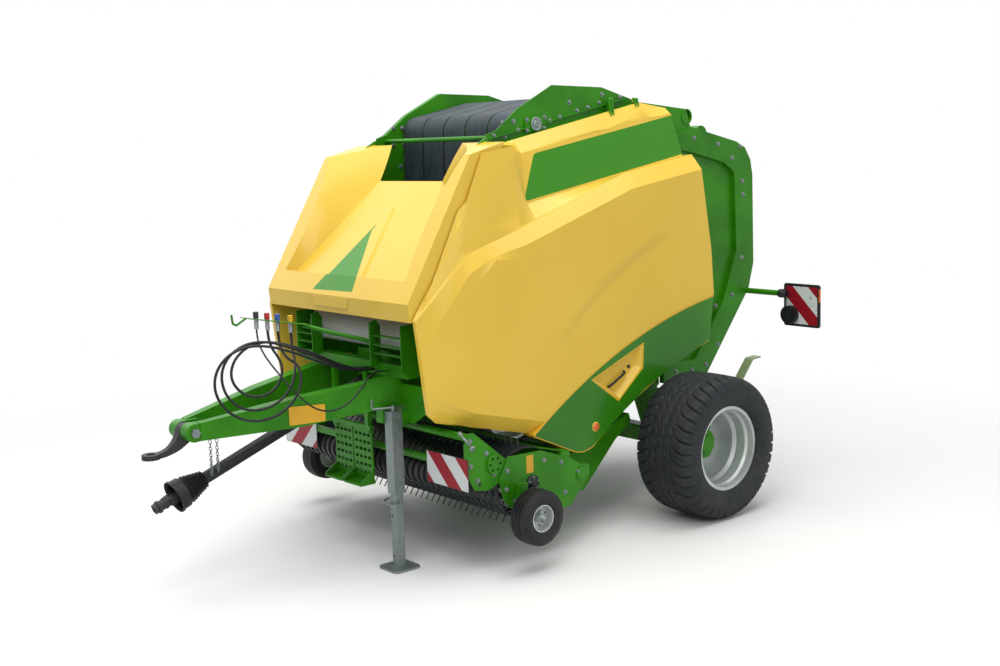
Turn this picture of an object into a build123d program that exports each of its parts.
# Round baler with a variable belt chamber, towed by its ring eye and parked on its jack.
# Millimetres, +Z up, +X to the machine's left, +Y to the rear, ground at z = 0.
# Stations along the machine are measured from the main axle, positive to the rear.
from build123d import *
from math import atan2, cos, hypot, pi, radians, sin, tan
import os

os.makedirs("parts", exist_ok=True)

# Running clearances
seat_gap = 0.3
shut_gap = 12.0

# Main wheels, 500/45-22.5 implement tyres
tyre_radius = 515.0
tyre_width = 500.0
rim_radius = 286.0
rim_width = 406.0
rim_wall = 9.0
rim_lip = 16.0
wheel_x = 1162.0
disc_inset = 276.0
hub_radius = 105.0
hub_depth = 120.0
stub_radius = 45.0

# Pick-up gauge wheels, 15x6.00-6
gauge_radius = 181.0
gauge_width = 150.0
gauge_rim_radius = 88.0
gauge_x = 1222.0
gauge_station = -1710.0
gauge_height = 354.0
gauge_axle_radius = 15.0

# Bale chamber
chamber_half = 600.0
plate_thickness = 8.0
plate_x = 612.0
tailgate_split = 100.0
tailgate_gap = 15.0

# Belts and their rollers
belt_count = 5
belt_gap = 14.0
belt_thickness = 8.0
roller_end_gap = 6.0
roller_shaft_radius = 28.0

# Drawbar, ring eye and jack
eye_station = -3714.0
eye_height = 909.0
eye_bore_radius = 25.5
eye_ring_radius = 56.0
eye_thickness = 30.0
ear_station = -3475.0
ear_height = 1030.0
ear_radius = 57.0
ear_thickness = 24.0
ear_gap = 64.0
hitch_pin_radius = 20.0
jack_x = 530.0
jack_station = -2300.0
jack_size = 80.0
jack_bottom = 500.0
jack_top = 1030.0
crank_radius = 7.0
leg_size = 60.0
leg_wall = 6.0
jack_wall = (jack_size - leg_size) / 2 - seat_gap
leg_top = 720.0
foot_size = 210.0
foot_thickness = 14.0

# Drive shaft with its guard
shaft_station = -3369.0
shaft_height = 711.0
shaft_slope = 20.3
guard_radius = 39.0
guard_wall = 4.0
guard_rear = 1330.0
inner_shaft_radius = 26.0
cone_length = 230.0
bellows_ribs = 7
bellows_pitch = 20.0
bellows_fold = 11.0
crest_radius = 58.0
rib_growth = 5.5
yoke_reach = 372.0

# Pick-up
reel_station = -1620.0
reel_height = 520.0
tine_reach = 292.0
tine_radius = 3.0
band_radius = 235.0
band_width = 44.0
band_sheet = 5.0
band_half_count = 16
band_angles = range(74, 285, 21)
pickup_half = 1040.0
pickup_plate = 10.0
pickup_pivot_station = -1150.0
pickup_pivot_height = 500.0
pickup_pivot_radius = 45.0
reel_shaft_radius = 24.0
windguard_station = -2020.0
windguard_height = 590.0
windguard_radius = 95.0
roller_pin_radius = 12.0
rib_pitch = 62.0
rib_count = 15

# Tailgate and its pivot, bale kicker
gate_pivot_station = -50.0
gate_pivot_height = 2930.0
gate_pin_radius = 20.0
gate_tube_radius = 57.0
gate_tube_station = 420.0
gate_tube_height = 2862.0
kicker_pivot_station = 300.0
kicker_pivot_height = 600.0
kicker_half = 520.0
kicker_tip_station = 1400.0

# Plastic covers
hood_half = 824.0
hood_wall = 16.0
hood_hinge_station = -1510.0
hood_hinge_height = 2738.0
hood_pin_radius = 9.0
cover_front_x = hood_half + shut_gap
cover_x = 950.0
cover_wall = 22.0
cover_hinge_x = 668.0
cover_pin_x = 662.0
cover_pin_height = 2985.0
cover_pin_radius = 8.0
cover_eye_radius = 15.0
cover_lug = 12.0
cover_hinge_stations = (-420.0, -160.0)
cover_lug_tops = (2907.0, 2958.0)

# The box of the machine runs from the ring eye to the kicker's tip, with its middle at Y = 0
front_reach = -eye_station + eye_ring_radius
rear_reach = kicker_tip_station
axle_y = (front_reach - rear_reach) / 2

hands = (("left", 1), ("right", -1))


def side(x):
    """Plane across the machine: local x is the station, local y the height."""
    return Plane(origin=(x, axle_y, 0), x_dir=(0, 1, 0), z_dir=(1, 0, 0))


def front(station):
    """Plane facing forward at a station: local x is X, local y the height."""
    return Plane(origin=(0, axle_y + station, 0), x_dir=(1, 0, 0), z_dir=(0, -1, 0))


def level(height):
    """Level plane: local x is X, local y the station."""
    return Plane(origin=(0, axle_y, height), x_dir=(1, 0, 0), z_dir=(0, 0, 1))


def cross_axis(station, height):
    """Axis across the machine at a station and height."""
    return Axis((0, axle_y + station, height), (1, 0, 0))


def save(piece, name):
    piece.part.label = name
    export_step(piece.part, f"parts/{name}.step")


def arc_centre(before, corner, after, radius):
    """Centre of the arc that rounds a corner of a path."""
    ax, ay = before[0] - corner[0], before[1] - corner[1]
    bx, by = after[0] - corner[0], after[1] - corner[1]
    la, lb = hypot(ax, ay), hypot(bx, by)
    mx, my = ax / la + bx / lb, ay / la + by / lb
    half = abs(atan2(ax * by - ay * bx, ax * bx + ay * by)) / 2
    reach = radius / sin(half) / hypot(mx, my)
    return corner[0] + mx * reach, corner[1] + my * reach


# Main wheels: tyre, dished rim and hub, each turned about the axle
def tyre_section(half_width, bead, bead_half, lip_top, crown, shoulder):
    """Half-section of a tyre: local x across, local y the radius."""
    side_foot = (half_width * 0.88, lip_top + 6)
    side_top = (half_width * 0.86, shoulder)
    tread_end = (half_width * 0.74, crown - 4)
    bulge = (half_width, (lip_top + shoulder) / 2)
    with BuildLine() as outline:
        Line((-bead_half, bead), (bead_half, bead))
        Polyline((bead_half, bead), (bead_half, lip_top), side_foot)
        ThreePointArc(side_foot, bulge, side_top)
        Line(side_top, tread_end)
        ThreePointArc(tread_end, (0, crown), (-tread_end[0], tread_end[1]))
        Line((-tread_end[0], tread_end[1]), (-side_top[0], side_top[1]))
        ThreePointArc((-side_top[0], side_top[1]), (-bulge[0], bulge[1]), (-side_foot[0], side_foot[1]))
        Polyline((-side_foot[0], side_foot[1]), (-bead_half, lip_top), (-bead_half, bead))
    return outline.line


def wheel_plane(x, station, height):
    """Plane through a wheel's axle: local x is X, local y points up from the axle."""
    return Plane(origin=(x, axle_y + station, height), x_dir=(1, 0, 0), z_dir=(0, -1, 0))


groove_depth = 14.0
groove_width = 12.0
groove_stations = (-110.0, -38.0, 38.0, 110.0)
slot_count = 30
slot_width = 13.0
slot_depth = 34.0
slot_length = 84.0
slot_x = 196.0

# Rim section, x outboard from the wheel's middle and radius: lips, stepped well, dished disc
lip_radius = rim_radius + rim_lip
seat_radius = rim_radius - seat_gap
rim_outline = (
    # x, radius
    (-rim_width / 2, lip_radius), (-rim_width / 2, 276), (-130, 268), (-96, 246), (-88, 200),
    (-80, hub_radius), (-66, hub_radius), (-70, 190), (-76, 238), (40, 244), (66, 262), (140, 264),
    (158, 276), (rim_width / 2, 280), (rim_width / 2, lip_radius), (rim_width / 2 - rim_wall, lip_radius),
    (rim_width / 2 - rim_wall, seat_radius), (rim_wall - rim_width / 2, seat_radius),
    (rim_wall - rim_width / 2, lip_radius),
)

for hand, sign in hands:
    with BuildPart() as tyre:
        with BuildSketch(wheel_plane(sign * wheel_x, 0, tyre_radius)):
            with BuildLine():
                add(tyre_section(tyre_width / 2, rim_radius, rim_width / 2 - rim_wall - seat_gap,
                                 rim_radius + rim_lip + seat_gap, tyre_radius, tyre_radius - 42))
            make_face()
            with Locations(*[(x, tyre_radius) for x in groove_stations]):
                Rectangle(groove_width, 2 * groove_depth, mode=Mode.SUBTRACT)
        revolve(axis=cross_axis(0, tyre_radius))
        # Slots between the shoulder blocks
        for shoulder in (-1, 1):
            middle = Plane(origin=(sign * wheel_x + shoulder * slot_x, axle_y, tyre_radius),
                           x_dir=(0, 1, 0), z_dir=(1, 0, 0))
            with Locations(middle):
                with PolarLocations(tyre_radius - slot_depth / 2, slot_count, start_angle=6 * shoulder):
                    Box(slot_depth, slot_width, slot_length, rotation=(14 * shoulder, 0, 0),
                        mode=Mode.SUBTRACT)
    save(tyre, f"tyre_{hand}")

    with BuildPart() as rim:
        with BuildSketch(wheel_plane(sign * wheel_x, 0, tyre_radius)):
            with BuildLine():
                Polyline(*[(sign * x, radius) for x, radius in rim_outline], close=True)
            make_face()
        revolve(axis=cross_axis(0, tyre_radius))
    save(rim, f"rim_{hand}")

    with BuildPart() as hub:
        disc_outer_x = sign * (wheel_x + rim_width / 2 - disc_inset)
        with BuildSketch(side(disc_outer_x)):
            with Locations((0, tyre_radius)):
                Circle(hub_radius - seat_gap)
                Circle(stub_radius + seat_gap, mode=Mode.SUBTRACT)
        extrude(amount=hub_depth / 2, both=True)
        with BuildSketch(side(disc_outer_x + sign * hub_depth / 2)):
            with Locations((0, tyre_radius)):
                Circle(hub_radius * 0.62)
        extrude(amount=sign * 34)
    save(hub, f"hub_{hand}")

# Axle beam with stub axles, hung from the chamber by two legs
axle_size = 120.0
axle_half = 700.0
leg_plate = 20.0
stub_end = wheel_x + rim_width / 2 - disc_inset + hub_depth / 2 - 4
with BuildPart() as axle:
    with BuildSketch(side(0)):
        with Locations((0, tyre_radius)):
            RectangleRounded(axle_size, axle_size, 10)
    extrude(amount=axle_half, both=True)
    with BuildSketch(side(0)):
        with Locations((0, tyre_radius)):
            Circle(stub_radius)
    extrude(amount=stub_end, both=True)
    for sign in (1, -1):
        with BuildSketch(side(sign * plate_x)):
            with BuildLine():
                Polyline((-170, 900), (90, 900), (90, 860), (60, 560), (-60, 560), (-170, 860), close=True)
            make_face()
        extrude(amount=-sign * leg_plate)
save(axle, "axle")

# Chamber side plates, fixed part
chamber_outline = (
    (-1200, 300), (-884, 285), (-560, 590), (-250, 800), (tailgate_split, 870),
    (tailgate_split, 2700), (gate_pivot_station + 90, gate_pivot_height - 30),
    (gate_pivot_station - 80, gate_pivot_height + 55), (-455, 3075), (-930, 3088), (-1250, 2930),
    (hood_hinge_station + 70, hood_hinge_height + 52), (hood_hinge_station - 18, hood_hinge_height + 27),
    (hood_hinge_station - 18, hood_hinge_height - 38), (-1690, 2400), (-1830, 1900), (-1830, 1060),
    (-1480, 860), (-1225, 700),
)
bearing_centre = (-1102, 2828)
bearing_radius = 50.0
bearing_depth = 24.0
far_flange = ((-1500, 2764), (-1440, 2786), (-1250, 2926), (-930, 3084), (-455, 3071))
for hand, sign in hands:
    with BuildPart() as plate:
        with BuildSketch(side(sign * plate_x)):
            with BuildLine():
                Polyline(*chamber_outline, close=True)
            make_face()
        extrude(amount=sign * plate_thickness)
        # Angle flange that the covers' top edge follows
        with BuildSketch(side(sign * plate_x)):
            with BuildLine():
                Polyline((-1465, 2703), (-130, 2966), (-130, 2958), (-1465, 2695), close=True)
            make_face()
        extrude(amount=sign * (cover_hinge_x - seat_gap - plate_x))
        with BuildSketch(side(sign * plate_x)):
            with Locations((gate_pivot_station, gate_pivot_height)):
                Circle(gate_pin_radius)
            with Locations((hood_hinge_station, hood_hinge_height)):
                Circle(hood_pin_radius)
        extrude(amount=sign * (plate_thickness + 22))
        # Bearing housing of the front belt roller
        with BuildSketch(side(sign * (plate_x + plate_thickness))):
            with Locations(bearing_centre):
                Circle(bearing_radius)
        extrude(amount=sign * bearing_depth)
        with BuildSketch(side(sign * (plate_x + plate_thickness))):
            with Locations(bearing_centre):
                RegularPolygon(bearing_radius + 16, 4, rotation=8)
        extrude(amount=sign * 10)
        if hand == "right":
            with BuildSketch(side(sign * (plate_x + plate_thickness))):
                with BuildLine():
                    Polyline(*far_flange)
                trace(line_width=plate_thickness)
            extrude(amount=sign * 35)
        # Pinned eyes that carry the cover's hinge
        for station in cover_hinge_stations:
            with BuildSketch(front(station + cover_lug / 2)):
                with BuildLine():
                    Polyline((sign * plate_x, 2885), (sign * plate_x, 2935), (sign * 648, 2992),
                             (sign * 662, 2972), (sign * 655, 2885), close=True)
                make_face()
                with Locations((sign * cover_pin_x, cover_pin_height)):
                    Circle(cover_eye_radius)
            extrude(amount=cover_lug)
            with BuildSketch(front(station)):
                with Locations((sign * cover_pin_x, cover_pin_height)):
                    Circle(cover_pin_radius)
            extrude(amount=1.5 * cover_lug + 2, both=True)
    save(plate, f"chamber_plate_{hand}")

# Cross rods between the chamber plates
cross_rod_place = (-1440, 2745)
cross_rod_radius = 16.0
lower_tube_place = (-1700, 1900)
lower_tube_radius = 30.0

# Belt path: corner stations and heights with the radius of the roller's wrap
front_path = ((-1330, 900), (-1290, 2890), (-720, 3010), (-300, 3030), (tailgate_split - 10, 2790))
front_radii = (118.0, 90.0, 90.0)
rear_path = ((tailgate_split + 25, 2770), (620, 2660), (1110, 2560), (1120, 1560), (560, 960))
rear_radii = (70.0, 110.0, 110.0)


roller_wall = 8.0
roller_disc = 12.0
roller_half = chamber_half - roller_end_gap
roller_parts = (
    # start x, length, inner radius
    (0.0, roller_half, lambda outer: outer - roller_wall),
    (roller_half - roller_disc, roller_disc, lambda outer: roller_shaft_radius - 1),
)


def belts(path, radii):
    """Belts side by side along one path across the chamber."""
    width = (2 * chamber_half - 2 * roller_end_gap - (belt_count - 1) * belt_gap) / belt_count
    with BuildPart() as band:
        for number in range(belt_count):
            x = -chamber_half + roller_end_gap + number * (width + belt_gap)
            with BuildSketch(side(x)):
                with BuildLine():
                    FilletPolyline(*path, radius=radii)
                trace(line_width=belt_thickness)
            extrude(amount=width)
    return band


def rollers(path, radii):
    """One roller inside each bend of the belts: a tube with end discs on a through shaft."""
    with BuildPart() as row:
        for number, radius in enumerate(radii, start=1):
            centre = arc_centre(path[number - 1], path[number], path[number + 1], radius)
            outer = radius - belt_thickness / 2 - seat_gap
            for start, length, inner in roller_parts:
                for end in (-1, 1):
                    with BuildSketch(side(end * start)):
                        with Locations(centre):
                            Circle(outer)
                            Circle(inner(outer), mode=Mode.SUBTRACT)
                    extrude(amount=end * length)
            with BuildSketch(side(0)):
                with Locations(centre):
                    Circle(roller_shaft_radius)
            extrude(amount=plate_x, both=True)
    return row


with BuildPart() as cross_rods:
    for spot, radius in ((cross_rod_place, cross_rod_radius), (lower_tube_place, lower_tube_radius)):
        with BuildSketch(side(0)):
            with Locations(spot):
                Circle(radius)
        extrude(amount=plate_x, both=True)
save(cross_rods, "cross_rods")

save(belts(front_path, front_radii), "belts_front")
save(belts(rear_path, rear_radii), "belts_rear")
save(rollers(front_path, front_radii), "rollers_front")
save(rollers(rear_path, rear_radii), "rollers_rear")

# Tailgate: two plates with a formed rib, cross tubes and pivot arms
gate_start = tailgate_split + tailgate_gap
gate_outline = (
    (gate_start, 880), (568, 837), (1122, 1506), (1185, 1708), (1175, 2400), (1150, 2520), (1085, 2615),
    (980, 2665), (455, 2784), (gate_start, 2690),
)
gate_inner = (
    (60, 2665), (452, 2598), (823, 2512), (954, 2430), (974, 1820), (813, 1441), (470, 1010), (60, 1040),
)
frame_depth = 35.0
frame_corner = 60.0
with BuildPart() as gate:
    for sign in (1, -1):
        with BuildSketch(side(sign * plate_x)):
            with BuildLine():
                Polyline(*gate_outline, close=True)
            make_face()
        extrude(amount=sign * plate_thickness)
        # Frame that stands proud of the inner panel
        with BuildSketch(side(sign * (plate_x + plate_thickness))):
            with BuildLine():
                Polyline(*gate_outline, close=True)
            make_face()
            with BuildLine():
                FilletPolyline(*gate_inner, radius=frame_corner, close=True)
            make_face(mode=Mode.SUBTRACT)
        extrude(amount=sign * frame_depth)
        # Pivot arm from the cross tube to the pivot
        with BuildSketch(side(sign * (plate_x + plate_thickness + 3))):
            with BuildLine():
                Polyline((gate_pivot_station - 45, gate_pivot_height - 45),
                         (gate_pivot_station - 45, gate_pivot_height + 40),
                         (gate_tube_station, gate_tube_height + 55),
                         (gate_tube_station + 60, gate_tube_height - 122),
                         (gate_tube_station - 250, gate_tube_height - 182), close=True)
            make_face()
            with Locations((gate_pivot_station, gate_pivot_height)):
                Circle(gate_pin_radius + seat_gap, mode=Mode.SUBTRACT)
        extrude(amount=sign * 12)
        with BuildSketch(side(sign * plate_x)):
            with Locations((gate_tube_station - 60, gate_tube_height - 122)):
                Rectangle(160, 60)
        extrude(amount=sign * (plate_thickness + 3))
    with BuildSketch(side(0)):
        with Locations((gate_tube_station, gate_tube_height)):
            Circle(gate_tube_radius)
            Circle(gate_tube_radius - 8, mode=Mode.SUBTRACT)
    extrude(amount=plate_x + 30, both=True)
    with BuildSketch(side(0)):
        with Locations((620, 925)):
            Rectangle(70, 70)
    extrude(amount=plate_x, both=True)
save(gate, "tailgate_frame")

# Rear boards on their arms
board_x = 1165.0
board_size = 330.0
board_station = 1110.0
board_height = 1405.0
with BuildPart() as lamp_arms:
    for sign in (1, -1):
        with BuildSketch(side(sign * (plate_x + plate_thickness + frame_depth))):
            with Locations((board_station - 10, board_height + 85)):
                Circle(22)
        extrude(amount=sign * (board_x - board_size / 2 + 30 - plate_x - plate_thickness - frame_depth))
save(lamp_arms, "lamp_arms")

with BuildPart() as boards:
    for sign in (1, -1):
        with BuildSketch(front(board_station + 12)):
            with Locations((sign * board_x, board_height)):
                RectangleRounded(board_size, board_size, 20)
        extrude(amount=-18)
save(boards, "rear_boards")

with BuildPart() as lamps:
    for sign in (1, -1):
        for station, depth in ((board_station + 12, 45), (board_station + 55, 25)):
            with BuildSketch(front(station)):
                with Locations((sign * (board_x - 95), board_height - 75)):
                    Circle(70)
            extrude(amount=depth)
save(lamps, "rear_lamps")

# Bale kicker: a bent loop behind the chamber's floor
with BuildPart() as kicker:
    kicker_points = ((kicker_pivot_station, kicker_pivot_height), (1140, 720), (1300, 900),
                     (kicker_tip_station, 905))
    for sign in (1, -1):
        with BuildSketch(side(sign * kicker_half)):
            with BuildLine():
                FilletPolyline(*kicker_points, radius=(60, 40))
            trace(line_width=12)
        extrude(amount=40, both=True)
        with BuildSketch(side(sign * kicker_half)):
            with Locations((kicker_pivot_station, kicker_pivot_height)):
                Circle(40)
        extrude(amount=30, both=True)
        with BuildSketch(side(sign * kicker_half)):
            with Locations((kicker_pivot_station, kicker_pivot_height)):
                Circle(20 + seat_gap)
        extrude(amount=60, both=True, mode=Mode.SUBTRACT)
    for station, height in ((700, 658), (1100, 715)):
        with BuildSketch(side(0)):
            with Locations((station, height)):
                Circle(30)
        extrude(amount=kicker_half, both=True)
save(kicker, "bale_kicker")

with BuildPart() as kicker_pivot:
    for sign in (1, -1):
        with BuildSketch(side(sign * (kicker_half - 45))):
            with Locations((kicker_pivot_station, kicker_pivot_height)):
                Circle(20)
        extrude(amount=sign * 95)
        with BuildSketch(side(sign * (kicker_half + 40))):
            with BuildLine():
                Polyline((kicker_pivot_station + 40, kicker_pivot_height - 40),
                         (kicker_pivot_station + 40, kicker_pivot_height + 40), (axle_size / 2, 660),
                         (axle_size / 2, 465), (180, 465), close=True)
            make_face()
        extrude(amount=sign * 12)
save(kicker_pivot, "kicker_brackets")

# Front hood: a moulded shell with two shoulders and a channel between them
hood_outline = (
    (-2354, 1635), (-2366, 1749), (-1834, 2645), (-1546, 2718), (-1690, 2475), (-2140, 1715), (-2150, 1625),
)


def hood_form(half):
    """The hood's outer form, solid, with its half width."""
    with BuildPart() as form:
        with BuildSketch(side(0)):
            with BuildLine():
                Polyline(*hood_outline, close=True)
            make_face()
        extrude(amount=half, both=True)
        with BuildSketch(front(-2290)):
            with BuildLine():
                Polyline((-705, 1790), (705, 1790), (716, 2150), (-716, 2150), close=True)
            make_face()
        with BuildSketch(front(-1500)):
            with BuildLine():
                Polyline((-240, 2690), (240, 2690), (816, 3026), (-816, 3026), close=True)
            make_face()
        loft(ruled=True, mode=Mode.SUBTRACT)
    return form.part


# Plane of the channel's floor: local y runs up the floor
floor_plane = Plane(origin=(0, axle_y - 2290, 1790), x_dir=(1, 0, 0), z_dir=(0, -900, 790))
with BuildPart() as hood:
    add(hood_form(hood_half))
    with Locations((0, hood_wall, -hood_wall)):
        add(hood_form(hood_half - hood_wall), mode=Mode.SUBTRACT)
    # Raised wedge up the middle of the floor, and the boss under it on the lip
    with BuildSketch(floor_plane.offset(-6)):
        with BuildLine():
            Polyline((-262, 8), (184, 8), (16, 700), (-36, 560), close=True)
        make_face()
    extrude(amount=20, taper=32)
    with BuildSketch(front(-2350)):
        with BuildLine():
            Polyline((-262, 1748), (184, 1748), (150, 1668), (-228, 1668), close=True)
        make_face()
    extrude(amount=18, taper=20)
    for sign in (1, -1):
        with BuildSketch(side(sign * (plate_x + plate_thickness + 2))):
            with BuildLine():
                Polyline((hood_hinge_station + 18, hood_hinge_height - 12),
                         (hood_hinge_station + 18, hood_hinge_height + 18),
                         (hood_hinge_station - 30, hood_hinge_height + 10),
                         (hood_hinge_station - 150, hood_hinge_height - 58),
                         (hood_hinge_station - 150, hood_hinge_height - 128),
                         (hood_hinge_station - 50, hood_hinge_height - 48), close=True)
            make_face()
            with Locations((hood_hinge_station, hood_hinge_height)):
                Circle(hood_pin_radius + seat_gap, mode=Mode.SUBTRACT)
        extrude(amount=sign * 12)
save(hood, "front_hood")

# Side covers: moulded shells, and their green lower bands below a curved seam
seam_front = (-1473, 804)
seam_middle = (-600, 1290)
seam_rear = (349, 1552)
cover_edge = (
    seam_rear, (324, 1894), (262, 2234), (205, 2590), (130, 2925), (-130, 2966), (-1480, 2700),
    (-1749, 2650), (-2343, 1650), (-2270, 1050), (-2202, 986), seam_front,
)
band_edge = ((-1474, 787), (-1090, 612), (-1020, 603), (-936, 621))
band_rear = (294, 1214)


def cover_face(inset):
    """Side view of the cream cover, moved inward by an inset."""
    with BuildSketch() as face:
        with BuildLine():
            ThreePointArc(seam_front, seam_middle, seam_rear)
            Polyline(*cover_edge)
        make_face()
        if inset:
            offset(amount=-inset, kind=Kind.INTERSECTION)
    return face.sketch


def band_face(inset):
    """Side view of the green band below the seam, moved inward by an inset."""
    with BuildSketch() as face:
        with BuildLine():
            ThreePointArc(seam_front, seam_middle, seam_rear)
            Polyline(seam_front, *band_edge)
            ThreePointArc(band_edge[-1], (-393, 951), band_rear)
            Line(band_rear, seam_rear)
        make_face()
        if inset:
            offset(amount=-inset, kind=Kind.INTERSECTION)
    return face.sketch


# Cross sections of the cover's outer face from its inner top edge to its bottom, as x and height:
# hood seam or hinge edge, front crease or recess edge, recess floor, shelf edge, ridge, lower crease
front_sections = (
    (-2343, ((836, 1650), (840, 1650), (850, 1646), (860, 1640), (860, 1120), (842, 1023))),
    (-1957, ((836, 2300), (862, 2124), (878, 2014), (938, 1909), (938, 1023), (880, 926))),
    (-1749, ((836, 2651), (855, 2385), (876, 2080), (950, 1975), (950, 971), (890, 874))),
    (-1480, ((836, 2690), (845, 2640), (872, 2165), (950, 2060), (950, 903), (890, 806))),
)
rear_sections = (
    (-1480, ((668, 2700), (836, 2690), (845, 2640), (872, 2165), (950, 2060), (950, 903), (890, 806))),
    (-1330, ((668, 2730), (735, 2639), (780, 2308), (870, 2214), (950, 2108), (950, 865), (890, 768))),
    (-505, ((668, 2892), (735, 2785), (780, 2455), (870, 2475), (950, 2370), (950, 658), (890, 561))),
    (-130, ((668, 2966), (735, 2852), (780, 2522), (870, 2533), (950, 2425), (950, 564), (890, 467))),
    (161, ((668, 2940), (735, 2880), (780, 2574), (870, 2578), (950, 2468), (950, 491), (890, 394))),
    (350, ((668, 2905), (735, 2860), (780, 2604), (870, 2608), (950, 2496), (950, 444), (890, 347))),
)
cover_skin = 18.0
recess_depth = 150.0


def inset_path(points, wall):
    """A section's points moved to the inside of the cover by the skin's thickness."""
    moved = []
    for number, (x, z) in enumerate(points):
        normals = []
        for start, end in ((number - 1, number), (number, number + 1)):
            if start >= 0 and end < len(points):
                dx, dz = points[end][0] - points[start][0], points[end][1] - points[start][1]
                normals.append((dz / hypot(dx, dz), -dx / hypot(dx, dz)))
        nx = sum(n[0] for n in normals) / len(normals)
        nz = sum(n[1] for n in normals) / len(normals)
        reach = wall / (nx * nx + nz * nz)
        moved.append((x + nx * reach, z + nz * reach))
    return moved


def cover_form(sections, inner_x, wall):
    """Loft through the sections, closed at inner_x below the recess; with a wall, the hollow inside."""
    with BuildPart() as form:
        for station, points in sections:
            top_x, recess = points[0][0], points[2][1] - recess_depth
            line = inset_path(points, wall) if wall else list(points)
            opened = 30 if wall else 0
            low = line[-1][1]
            closing = [(inner_x - opened, low), (inner_x - opened, recess - opened),
                       (top_x - opened - 1, recess - opened), (top_x - opened - 1, line[0][1] - opened)]
            with BuildSketch(front(station)):
                with BuildLine():
                    Polyline(*line, *closing, close=True)
                make_face()
        loft(ruled=True)
    return form.part


# Handle recess in the green band, with its cream tub
pocket = ((-923, 1091), (-426, 1276), (-434, 1113), (-666, 919))
pocket_depth = 45.0
tub_wall = 4.0


def pocket_face(shift):
    with BuildSketch() as face:
        with BuildLine():
            Polyline(*pocket, close=True)
        make_face()
        offset(amount=shift, kind=Kind.INTERSECTION)
    return face.sketch


for hand, sign in hands:
    with BuildPart() as cover:
        with BuildPart(mode=Mode.PRIVATE) as skin:
            add(cover_form(front_sections, cover_front_x, 0))
            add(cover_form(rear_sections, cover_front_x, 0))
            with BuildSketch(side(cover_hinge_x)):
                add(cover_face(0))
            extrude(amount=cover_x - cover_hinge_x + 1, mode=Mode.INTERSECT)
        with BuildPart(mode=Mode.PRIVATE) as hollow:
            add(cover_form(front_sections[1:], cover_front_x, cover_skin))
            add(cover_form(rear_sections, cover_front_x, cover_skin))
            with BuildSketch(side(cover_hinge_x - 60)):
                add(cover_face(cover_skin))
            extrude(amount=cover_x - cover_hinge_x + 61, mode=Mode.INTERSECT)
        shell = skin.part - hollow.part
        add(shell if sign > 0 else mirror(shell, about=Plane.YZ))
        # Hinge lugs, one each side of the plate's eye
        for station, top in zip(cover_hinge_stations, cover_lug_tops):
            for end in (-1, 1):
                lug_middle = station + end * (cover_lug + 1)
                with BuildSketch(front(lug_middle + cover_lug / 2)):
                    with BuildLine():
                        Polyline((sign * (cover_hinge_x + 1), top - 12), (sign * (cover_hinge_x + 1), 2965),
                                 (sign * (cover_pin_x - 8), 2985), (sign * (cover_pin_x + 12), 2990),
                                 (sign * 700, top - 73), close=True)
                    make_face()
                    with Locations((sign * cover_pin_x, cover_pin_height)):
                        Circle(cover_eye_radius)
                        Circle(cover_pin_radius + seat_gap, mode=Mode.SUBTRACT)
                extrude(amount=cover_lug)
        # Tub of the handle recess, clear of the band round it
        with BuildSketch(side(sign * (cover_x - 2))):
            add(pocket_face(-seat_gap))
        with BuildSketch(side(sign * (cover_x - pocket_depth))):
            add(pocket_face(-32))
        loft(ruled=True)
        with BuildSketch(side(sign * cover_x)):
            add(pocket_face(-tub_wall))
        with BuildSketch(side(sign * (cover_x - pocket_depth + tub_wall))):
            add(pocket_face(-32 - tub_wall))
        loft(ruled=True, mode=Mode.SUBTRACT)
    save(cover, f"side_cover_{hand}")

    with BuildPart() as band:
        with BuildSketch(side(sign * cover_front_x)):
            add(band_face(0))
        extrude(amount=sign * (cover_x - cover_front_x))
        with BuildSketch(side(sign * cover_front_x)):
            add(band_face(cover_wall))
        extrude(amount=sign * (cover_x - cover_front_x - cover_wall), mode=Mode.SUBTRACT)
        with BuildSketch(side(sign * (cover_x + 1))):
            add(pocket_face(0))
        extrude(amount=-sign * (cover_wall + 2), mode=Mode.SUBTRACT)
    save(band, f"cover_band_{hand}")

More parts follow.
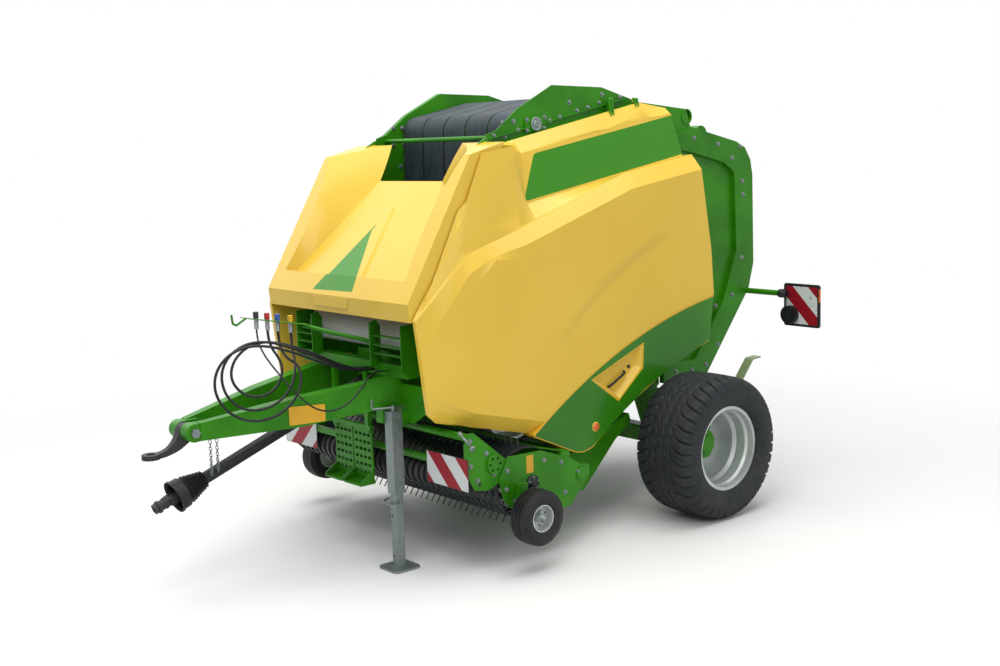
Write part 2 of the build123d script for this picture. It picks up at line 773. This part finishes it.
# Drawbar: two tapered beams that meet at the ears, joined by a rear cross tube
carrier_station = -2200.0
carrier_thickness = 10.0
beam_sections = (
    # station, x centre, bottom, top, width
    (-3440, 92, 977, 1088, 60),
    (-2850, 262, 992, 1178, 90),
    (-2250, 430, 1055, 1240, 100),
    (-1700, 500, 1060, 1240, 100),
)
with BuildPart() as drawbar:
    for sign in (1, -1):
        for near, far in zip(beam_sections[:-1], beam_sections[1:]):
            for station, x, bottom, top, width in (near, far):
                with BuildSketch(front(station)):
                    with Locations((sign * x, (bottom + top) / 2)):
                        Rectangle(width, top - bottom)
            loft(ruled=True)
        with BuildSketch(side(sign * (ear_gap / 2))):
            with Locations((ear_station, ear_height)):
                Circle(ear_radius)
            with Locations((ear_station + 50, ear_height)):
                Rectangle(100, 2 * ear_radius - 4)
            with Locations((ear_station, ear_height)):
                Circle(hitch_pin_radius + seat_gap, mode=Mode.SUBTRACT)
        extrude(amount=sign * (ear_thickness + 62 - ear_gap / 2 + 30))
    with BuildSketch(side(0)):
        with Locations((-1760, 1150)):
            Rectangle(120, 150)
    extrude(amount=plate_x, both=True)
    # Jack carrier on the left beam
    with BuildSketch(side(jack_x - jack_size / 2)):
        with Locations((jack_station, 1020)):
            Rectangle(110, 120)
    extrude(amount=-(jack_x - jack_size / 2 - 420))
    # Bolted carrier plate behind the jack, and the tube that the jack swings on
    with BuildSketch(front(carrier_station)):
        with BuildLine():
            Polyline((330, 1200), (330, 1060), (480, 950), (610, 950), (760, 1040), (760, 1200), close=True)
        make_face()
    extrude(amount=-carrier_thickness)
    with BuildSketch(front(jack_station + jack_size / 2 + seat_gap)):
        with Locations((jack_x, jack_bottom + 480)):
            Circle(46)
    extrude(amount=-(carrier_station - jack_station - jack_size / 2 + 60))
save(drawbar, "drawbar")

# Ring eye: a cast swan neck pinned between the ears
with BuildPart() as eye:
    with BuildSketch(side(0)):
        with BuildLine():
            ThreePointArc((-3440, 1062), (-3490, 1080), (-3530, 1048))
            ThreePointArc((-3530, 1048), (-3562, 985), (-3612, 941))
            ThreePointArc((-3612, 941), (-3640, 930), (-3680, 924))
            Line((-3680, 924), (-3680, 894))
            ThreePointArc((-3680, 894), (-3590, 903), (-3525, 930))
            Polyline((-3525, 930), (-3480, 958), (-3440, 985), (-3440, 1062))
        make_face()
    extrude(amount=ear_gap / 2 - seat_gap, both=True)
    # Waist of the casting, seen from above
    with BuildSketch(level(eye_height - eye_thickness)):
        with BuildLine():
            Polyline((31.7, -3430), (31.7, -3520), (21, -3590), (27, -3690), (-27, -3690), (-21, -3590),
                     (-31.7, -3520), (-31.7, -3430), close=True)
        make_face()
    extrude(amount=220, mode=Mode.INTERSECT)
    with BuildSketch(level(eye_height)):
        with Locations((0, eye_station)):
            Circle(eye_ring_radius)
    extrude(amount=eye_thickness / 2, both=True)
    with BuildSketch(level(eye_height)):
        with Locations((0, eye_station)):
            Circle(eye_bore_radius)
    extrude(amount=eye_thickness, both=True, mode=Mode.SUBTRACT)
    with BuildSketch(side(0)):
        with Locations((ear_station, ear_height)):
            Circle(hitch_pin_radius + seat_gap)
    extrude(amount=ear_gap, both=True, mode=Mode.SUBTRACT)
save(eye, "ring_eye")

with BuildPart() as hitch_pin:
    with BuildSketch(side(0)):
        with Locations((ear_station, ear_height)):
            Circle(hitch_pin_radius)
    extrude(amount=ear_thickness + 62 + 30, both=True)
    with BuildSketch(side(ear_thickness + 62 + 30)):
        with Locations((ear_station, ear_height)):
            RegularPolygon(30, 6)
    extrude(amount=18)
save(hitch_pin, "hitch_bolt")

# Jack: outer tube on the left beam, inner leg with its foot
with BuildPart() as jack:
    with BuildSketch(level(jack_bottom)):
        with Locations((jack_x, jack_station)):
            Rectangle(jack_size, jack_size)
            Rectangle(jack_size - 2 * jack_wall, jack_size - 2 * jack_wall, mode=Mode.SUBTRACT)
    extrude(amount=jack_top - jack_bottom)
    with BuildSketch(level(jack_top)):
        with Locations((jack_x, jack_station)):
            Rectangle(jack_size, jack_size)
    extrude(amount=8)
    with BuildSketch(level(jack_top + 8)):
        with Locations((jack_x, jack_station)):
            Circle(15)
    extrude(amount=36)
    with BuildLine() as crank:
        FilletPolyline((jack_x, axle_y + jack_station, 1060), (470, axle_y - 2420, 1060),
                       (470, axle_y - 2420, 1125), radius=18)
    with BuildSketch(Plane(origin=crank.line @ 0, z_dir=crank.line % 0)):
        Circle(crank_radius)
    sweep(path=crank.line)
save(jack, "jack_tube")

with BuildPart() as leg:
    with BuildSketch(level(foot_thickness)):
        with Locations((jack_x, jack_station)):
            Rectangle(leg_size, leg_size)
            Rectangle(leg_size - 2 * leg_wall, leg_size - 2 * leg_wall, mode=Mode.SUBTRACT)
    extrude(amount=leg_top - foot_thickness)
    with BuildSketch(level(0)):
        with Locations((jack_x, jack_station)):
            RectangleRounded(foot_size, foot_size, 40)
    extrude(amount=foot_thickness)
save(leg, "jack_leg")

# Drive shaft: guard tube with its cone, and the turning inner shaft with its yoke
shaft_plane = Plane(
    origin=(0, axle_y + shaft_station, shaft_height),
    x_dir=(1, 0, 0),
    z_dir=(0, cos(radians(shaft_slope)), sin(radians(shaft_slope))),
)
shaft_axis = Axis(shaft_plane.origin, shaft_plane.z_dir)
guard_section = Plane(
    origin=shaft_plane.origin,
    x_dir=(1, 0, 0),
    z_dir=(0, -sin(radians(shaft_slope)), cos(radians(shaft_slope))),
)
# Bellows: radius and place along the shaft, crests and valleys in turn, then the wide band and its rim
rib_steps = range(bellows_ribs)
crests = [(crest_radius + rib_growth * i, -14 - bellows_pitch * i) for i in rib_steps]
valleys = [(x - bellows_fold, y - bellows_pitch / 2) for x, y in crests]
bellows_outside = [(guard_radius, 0), (guard_radius, -4)]
for crest, valley in zip(crests, valleys):
    bellows_outside += [crest, valley]
bellows_outside += [(97, -164), (99, -212), (105, -216), (105, -cone_length)]
bellows_inside = [(99, -cone_length), (93, -212), (91, -164)]
for crest, valley in zip(reversed(crests), reversed(valleys)):
    bellows_inside += [(valley[0] - guard_wall, valley[1]), (crest[0] - guard_wall, crest[1])]
bellows_inside += [(guard_radius - guard_wall, -8), (guard_radius - guard_wall, 0)]
with BuildPart() as guard:
    with BuildSketch(shaft_plane):
        Circle(guard_radius)
        Circle(guard_radius - guard_wall, mode=Mode.SUBTRACT)
    extrude(amount=guard_rear)
    with BuildSketch(guard_section):
        with BuildLine():
            Polyline(*bellows_outside, *bellows_inside, close=True)
        make_face()
    revolve(axis=shaft_axis)
    for distance in (40, guard_rear - 60):
        with BuildSketch(shaft_plane.offset(distance)):
            Circle(guard_radius - guard_wall / 2)
            Circle(inner_shaft_radius + seat_gap, mode=Mode.SUBTRACT)
        extrude(amount=30)
save(guard, "shaft_guard")

with BuildPart() as shaft:
    with BuildSketch(shaft_plane.offset(-yoke_reach + 90)):
        Circle(inner_shaft_radius)
    extrude(amount=guard_rear + yoke_reach - 90)
    with BuildSketch(shaft_plane.offset(-yoke_reach)):
        Circle(33)
        Circle(17.5, mode=Mode.SUBTRACT)
    extrude(amount=110)
    for distance, radius in ((24, 40), (70, 37)):
        with BuildSketch(shaft_plane.offset(distance - yoke_reach)):
            Circle(radius)
            Circle(30, mode=Mode.SUBTRACT)
        extrude(amount=16)
    for end in (-1, 1):
        with BuildSketch(shaft_plane.offset(110 - yoke_reach - 12)):
            with Locations((end * 36, 0)):
                Rectangle(14, 50)
        extrude(amount=92)
    with BuildSketch(Plane(origin=shaft_plane.offset(172 - yoke_reach).origin, x_dir=(0, 1, 0),
                           z_dir=(1, 0, 0))):
        Circle(19)
    extrude(amount=46, both=True)
save(shaft, "drive_shaft")

# Gearbox at the rear end of the drive shaft
with BuildPart() as gearbox:
    with BuildSketch(level(960)):
        with Locations((0, -1950)):
            RectangleRounded(380, 260, 40)
    extrude(amount=400)
    with BuildSketch(shaft_plane.offset(guard_rear + seat_gap)):
        Circle(inner_shaft_radius)
    extrude(amount=60)
save(gearbox, "gearbox")

# Pick-up: side plates, reel with tines, bands and the windguard
pickup_outline = (
    (-1160, 570), (-1070, 550), (-1070, 480), (-1250, 300), (-1560, 280), (-1700, 320), (-1830, 450),
    (-1870, 600), (-1790, 730), (-1500, 720), (-1250, 625),
)
with BuildPart() as pickup:
    for sign in (1, -1):
        with BuildSketch(side(sign * pickup_half)):
            with BuildLine():
                Polyline(*pickup_outline, close=True)
            make_face()
            with Locations((reel_station, reel_height)):
                Circle(reel_shaft_radius + seat_gap, mode=Mode.SUBTRACT)
            with Locations((pickup_pivot_station, pickup_pivot_height)):
                Circle(pickup_pivot_radius + seat_gap, mode=Mode.SUBTRACT)
        extrude(amount=sign * pickup_plate)
        # Gauge wheel arm and axle stub
        with BuildSketch(side(sign * (pickup_half + pickup_plate))):
            with BuildLine():
                Polyline((gauge_station - 30, gauge_height - 25), (gauge_station + 30, gauge_height - 25),
                         (gauge_station + 60, 540), (gauge_station - 20, 540), close=True)
            make_face()
        extrude(amount=sign * 30)
        with BuildSketch(side(sign * (pickup_half + pickup_plate))):
            with Locations((gauge_station, gauge_height)):
                Circle(gauge_axle_radius)
        extrude(amount=sign * (gauge_x + gauge_width / 2 - pickup_half - 20))
    with BuildSketch(side(0)):
        with Locations((-1280, 630)):
            Rectangle(80, 80)
    extrude(amount=pickup_half, both=True)
    # Curved bands between the tines, bolted to the cross tube
    for number in range(-band_half_count, band_half_count + 1):
        with BuildSketch(side(number * rib_pitch - band_width / 2)):
            with BuildLine():
                Polyline((-1270, 668), *[(reel_station + band_radius * cos(radians(angle)),
                                          reel_height + band_radius * sin(radians(angle)))
                                         for angle in band_angles])
            trace(line_width=band_sheet)
        extrude(amount=band_width)
save(pickup, "pickup_frame")

# Feed rotor housing: a side box each side of the chamber, with the pick-up's pivot on it
housing_outline = (
    (-1195, 305), (-884, 285), (-566, 587), (-400, 700), (-420, 760), (-1000, 570), (-1195, 570),
)
housing_x = 800.0
for hand, sign in hands:
    with BuildPart() as housing:
        with BuildSketch(side(sign * (plate_x + plate_thickness))):
            with BuildLine():
                Polyline(*housing_outline, close=True)
            make_face()
        extrude(amount=sign * (housing_x - plate_x - plate_thickness))
        with BuildSketch(side(sign * (housing_x - 10))):
            with Locations((pickup_pivot_station, pickup_pivot_height)):
                Circle(pickup_pivot_radius)
        extrude(amount=sign * (pickup_half + pickup_plate - housing_x + 20))
    save(housing, f"rotor_housing_{hand}")

tine_bars = 5
tine_pitch = rib_pitch
tine_count = 32
bar_circle = 125.0
with BuildPart() as reel:
    with BuildSketch(side(0)):
        with Locations((reel_station, reel_height)):
            Circle(reel_shaft_radius)
    extrude(amount=pickup_half + pickup_plate, both=True)
    for x in (-1000, -340, 340, 1000):
        with BuildSketch(side(x)):
            with Locations((reel_station, reel_height)):
                Circle(bar_circle + 22)
        extrude(amount=5, both=True)
    for number in range(tine_bars):
        angle = 2 * pi * number / tine_bars + 0.35
        bar = (reel_station + bar_circle * cos(angle), reel_height + bar_circle * sin(angle))
        tip = (reel_station + tine_reach * cos(angle), reel_height + tine_reach * sin(angle))
        with BuildSketch(side(0)):
            with Locations(bar):
                Circle(17)
        extrude(amount=pickup_half - 20, both=True)
        spoke = Plane(origin=(0, axle_y + bar[0], bar[1]), x_dir=(1, 0, 0),
                      z_dir=(0, tip[0] - bar[0], tip[1] - bar[1]))
        with BuildSketch(spoke):
            with Locations(*[((i - (tine_count - 1) / 2) * tine_pitch, 0) for i in range(tine_count)]):
                Rectangle(2 * tine_radius, 2 * tine_radius)
        extrude(amount=tine_reach - bar_circle)
save(reel, "pickup_reel")

chain_cover_place = (-1905, 705)
with BuildPart() as wind:
    for sign in (1, -1):
        with BuildSketch(side(sign * pickup_half)):
            with BuildLine():
                Polyline((-1780, 700), (-2060, 930), (-2110, 930), (-2135, 860), (-2135, 690), (-2060, 560),
                         (-1960, 540), (-1830, 580), close=True)
            make_face()
            with Locations((windguard_station, windguard_height)):
                Circle(roller_pin_radius + seat_gap, mode=Mode.SUBTRACT)
        extrude(amount=-sign * pickup_plate)
        with BuildSketch(side(sign * pickup_half)):
            with Locations(chain_cover_place):
                Circle(62)
                with PolarLocations(42, 6):
                    Circle(9, mode=Mode.SUBTRACT)
        extrude(amount=sign * 22)
    for station, height in ((-2085, 897), (-2108, 712)):
        with BuildSketch(side(0)):
            with Locations((station, height)):
                Circle(25)
        extrude(amount=pickup_half - pickup_plate, both=True)
save(wind, "windguard_frame")

with BuildPart() as wind_roller:
    with BuildSketch(side(0)):
        with Locations((windguard_station, windguard_height)):
            Circle(windguard_radius - 12)
    extrude(amount=pickup_half - 40, both=True)
    for number in range(-rib_count, rib_count + 1):
        with BuildSketch(side(number * rib_pitch)):
            with Locations((windguard_station, windguard_height)):
                Circle(windguard_radius)
        extrude(amount=14, both=True)
    with BuildSketch(side(0)):
        with Locations((windguard_station, windguard_height)):
            Circle(roller_pin_radius)
    extrude(amount=pickup_half, both=True)
save(wind_roller, "windguard_roller")

with BuildPart() as front_boards:
    for sign in (1, -1):
        with BuildSketch(front(-2135)):
            with Locations((sign * 862, 672)):
                Rectangle(423, 212)
        extrude(amount=3)
save(front_boards, "front_boards")

# Gauge wheels
for hand, sign in hands:
    with BuildPart() as gauge_tyre:
        with BuildSketch(wheel_plane(sign * gauge_x, gauge_station, gauge_height)):
            with BuildLine():
                add(tyre_section(gauge_width / 2, gauge_rim_radius, 60, gauge_rim_radius + 3, gauge_radius,
                                 gauge_radius - 22))
            make_face()
            with Locations(*[(x, gauge_radius) for x in (-28, 0, 28)]):
                Rectangle(7, 16, mode=Mode.SUBTRACT)
        revolve(axis=cross_axis(gauge_station, gauge_height))
    save(gauge_tyre, f"gauge_tyre_{hand}")

    with BuildPart() as gauge_rim:
        with BuildSketch(wheel_plane(sign * gauge_x, gauge_station, gauge_height)):
            with Locations((0, gauge_rim_radius - seat_gap - 3)):
                Rectangle(120, 6)
            with Locations((0, 50)):
                Rectangle(8, 70)
            with Locations((0, (gauge_axle_radius + seat_gap + 32) / 2)):
                Rectangle(110, 32 - gauge_axle_radius - seat_gap)
        revolve(axis=cross_axis(gauge_station, gauge_height))
    save(gauge_rim, f"gauge_rim_{hand}")

# Net roll and the frame around it
with BuildPart() as net:
    with BuildSketch(side(0)):
        with Locations((-2080, 1490)):
            Circle(105)
    extrude(amount=590, both=True)
    with BuildSketch(side(0)):
        with Locations((-2080, 1490)):
            Circle(38)
    extrude(amount=610, both=True)
save(net, "net_roll")

shelf_inner_x = {1: 284.0, -1: -400.0}
shelf_heights = (1384.0, 1440.0, 1500.0)
shelf_front = -2290.0
shelf_rear = -2235.0
ports = ((210, 17), (250, 17), (290, 17), (400, 11))
port_radius = 15.0
port_length = 30.0
port_height = 1280.0
port_end = -2260.0
with BuildPart() as front_frame:
    for sign in (1, -1):
        with BuildSketch(side(sign * 610)):
            with BuildLine():
                Polyline((-1830, 1242), (-2200, 1242), (-2280, 1300), (-2280, 1590), (-2100, 1600), (-1830, 1800),
                         close=True)
            make_face()
        extrude(amount=sign * 8)
        # Upright and the three shelves of the twine and spares tray
        with BuildSketch(side(shelf_inner_x[sign])):
            with BuildLine():
                Polyline((shelf_front, 1300), (shelf_front, 1585), (shelf_rear, 1600), (-2205, 1560),
                         (-2205, 1318), (-2232, 1300), close=True)
            make_face()
        extrude(amount=sign * 8)
        for height in shelf_heights:
            with BuildSketch(level(height)):
                with Locations(((shelf_inner_x[sign] + sign * 610) / 2, (shelf_front + 12 + shelf_rear) / 2)):
                    Rectangle(610 - abs(shelf_inner_x[sign]) + 2, shelf_rear - shelf_front - 12)
            extrude(amount=5)
    with BuildSketch(side(0)):
        with Locations((-2190, 1280)):
            Rectangle(80, 80)
    extrude(amount=612, both=True)
    # Ports that the hoses and the cable end in
    for x, bore in ports:
        with BuildSketch(front(-2230)):
            with Locations((x, port_height)):
                Circle(port_radius * bore / 17)
        extrude(amount=port_length)
save(front_frame, "front_frame")

# Step below the drawbar: two slotted panels with a tread each
step_station = -2200.0
panel_middles = (-182.0, 42.0)
panel_width = 212.0
panel_height = 400.0
panel_low = 470.0
with BuildPart() as steps:
    for x in panel_middles:
        with BuildSketch(front(step_station)):
            with Locations((x, panel_low + panel_height / 2)):
                Rectangle(panel_width, panel_height)
                with GridLocations(48, 52, 4, 6):
                    SlotOverall(38, 22, mode=Mode.SUBTRACT)
        extrude(amount=14)
        with BuildSketch(level(panel_low)):
            with Locations((x, step_station - 62)):
                RectangleRounded(panel_width, 110, 14)
                with GridLocations(34, 60, 5, 1):
                    Circle(10, mode=Mode.SUBTRACT)
        extrude(amount=12)
        for end in (-1, 1):
            with BuildSketch(side(x + end * (panel_width / 2 - 4))):
                with BuildLine():
                    Polyline((step_station - 10, panel_low), (step_station - 110, panel_low),
                             (step_station - 110, panel_low + 24), (step_station - 10, panel_low + 90), close=True)
                make_face()
            extrude(amount=4, both=True)
    with BuildSketch(front(step_station)):
        with Locations((-70, panel_low + panel_height - 15)):
            Rectangle(460, 30)
        with Locations((-260, 1030), (120, 1030)):
            Rectangle(40, 420)
    extrude(amount=30)
save(steps, "step")

# Hose rack: a sloping plate over the drawbar that carries the couplings, on a bent tube
rack_rear = (-2610.0, 1590.0)
rack_front = (-3050.0, 1680.0)
rack_sheet = 5.0
rack_slope = (rack_front[1] - rack_rear[1]) / (rack_front[0] - rack_rear[0])
coupling_x = 75.0
coupling_stations = (-2744.0, -2838.0, -2912.0, -2990.0)
coupling_radius = 14.0
coupling_drop = 60.0
cap_radius = 17.0
cap_height = 40.0
cap_seat = 8.0


def rack_height(station):
    """Height of the rack's plate at a station."""
    return rack_rear[1] + (station - rack_rear[0]) * rack_slope


with BuildPart() as rack:
    with BuildSketch(side(-15)):
        with BuildLine():
            Polyline(rack_rear, rack_front)
        trace(line_width=rack_sheet)
    extrude(amount=126)
    for station in coupling_stations:
        with BuildSketch(level(rack_height(station) - coupling_drop)):
            with Locations((coupling_x, station)):
                Circle(coupling_radius + seat_gap)
        extrude(amount=2 * coupling_drop, mode=Mode.SUBTRACT)
    with BuildLine() as post:
        FilletPolyline((20, axle_y - 2618, 1584), (120, axle_y - 2480, 1530), (230, axle_y - 2290, 1470),
                       (262, axle_y - 2212, 1430), (262, axle_y - 2212, 1320), radius=30)
    with BuildSketch(Plane(origin=post.line @ 0, z_dir=post.line % 0)):
        Circle(14)
    sweep(path=post.line)
    # Hook at the front
    with BuildLine() as hook:
        FilletPolyline((40, axle_y - 3040, 1678), (40, axle_y - 3110, 1640), (40, axle_y - 3135, 1655),
                       (40, axle_y - 3140, 1710), radius=12)
    with BuildSketch(Plane(origin=hook.line @ 0, z_dir=hook.line % 0)):
        Circle(7)
    sweep(path=hook.line)
save(rack, "hose_rack")

# Free hoses and the lamp cable, one for each coupling in turn
hose_routes = {
    # diameter, last run, route from the port to the last bend as X, station, height
    "hose_middle": (17.0, 92, (
        (250, -2260, 1280), (250, -2345, 1280), (252, -2475, 1312), (255, -2610, 1374), (252, -2745, 1440),
        (245, -2880, 1502), (225, -3010, 1546), (208, -3140, 1548), (205, -3262, 1494), (222, -3338, 1388),
        (262, -3336, 1262), (294, -3260, 1172), (312, -3145, 1142), (324, -3030, 1164), (318, -2930, 1226),
        (270, -2850, 1310), (150, -2770, 1385))),
    "hose_outer": (17.0, 90, (
        (290, -2260, 1280), (290, -2345, 1280), (292, -2480, 1302), (297, -2620, 1354), (301, -2760, 1418),
        (299, -2900, 1480), (286, -3040, 1528), (264, -3175, 1540), (242, -3300, 1494), (230, -3378, 1396),
        (240, -3392, 1276), (268, -3340, 1166), (296, -3235, 1092), (320, -3110, 1076), (342, -2990, 1112),
        (350, -2895, 1190), (318, -2828, 1285), (250, -2812, 1385), (155, -2830, 1405))),
    "hose_inner": (17.0, 90, (
        (210, -2260, 1280), (210, -2345, 1280), (212, -2480, 1328), (214, -2610, 1394), (210, -2745, 1460),
        (198, -2880, 1514), (182, -3010, 1542), (170, -3128, 1518), (176, -3226, 1440), (196, -3258, 1338),
        (222, -3206, 1248), (242, -3108, 1208), (248, -2998, 1228), (226, -2915, 1306), (172, -2880, 1398))),
    "lamp_cable": (11.0, 62, (
        (400, -2260, 1280), (400, -2330, 1280), (418, -2398, 1262), (442, -2464, 1210), (452, -2535, 1150),
        (446, -2615, 1105), (438, -2700, 1086), (428, -2790, 1106), (410, -2868, 1164), (370, -2928, 1244),
        (296, -2962, 1326), (206, -2980, 1398), (124, -2988, 1470))),
}

# Couplings through the rack's plate, with a cap on each
with BuildPart() as couplings:
    for station in coupling_stations:
        height = rack_height(station)
        with BuildSketch(level(height - coupling_drop)):
            with Locations((coupling_x, station)):
                Circle(coupling_radius)
        extrude(amount=coupling_drop + cap_seat)
        with BuildSketch(level(height + cap_seat)):
            with Locations((coupling_x, station)):
                Circle(cap_radius)
        extrude(amount=cap_height)
save(couplings, "hose_couplings")

for station, (name, (diameter, last_run, route)) in zip(coupling_stations, hose_routes.items()):
    end = rack_height(station) - coupling_drop
    points = [Vector(x, axle_y + y, z) for x, y, z in
              (*route, (coupling_x, station, end - last_run), (coupling_x, station, end))]
    runs = [b - a for a, b in zip(points[:-1], points[1:])]
    radii = []
    for near, far in zip(runs[:-1], runs[1:]):
        half_turn = radians(near.get_angle(far)) / 2
        radii.append(0.45 * min(near.length, far.length) * cos(half_turn) / sin(half_turn))
    print(name, "radii", [round(radius) for radius in radii])
    with BuildPart() as hose:
        with BuildLine() as lay:
            FilletPolyline(*points, radius=radii)
        with BuildSketch(Plane(origin=lay.line @ 0, z_dir=lay.line % 0)):
            Circle(diameter / 2)
        sweep(path=lay.line)
    length = sum(edge.length for edge in lay.edges())
    share = hose.part.volume / (length * pi * diameter * diameter / 4)
    print(name, "length", round(length), "volume share", round(share, 4))
    save(hose, name)
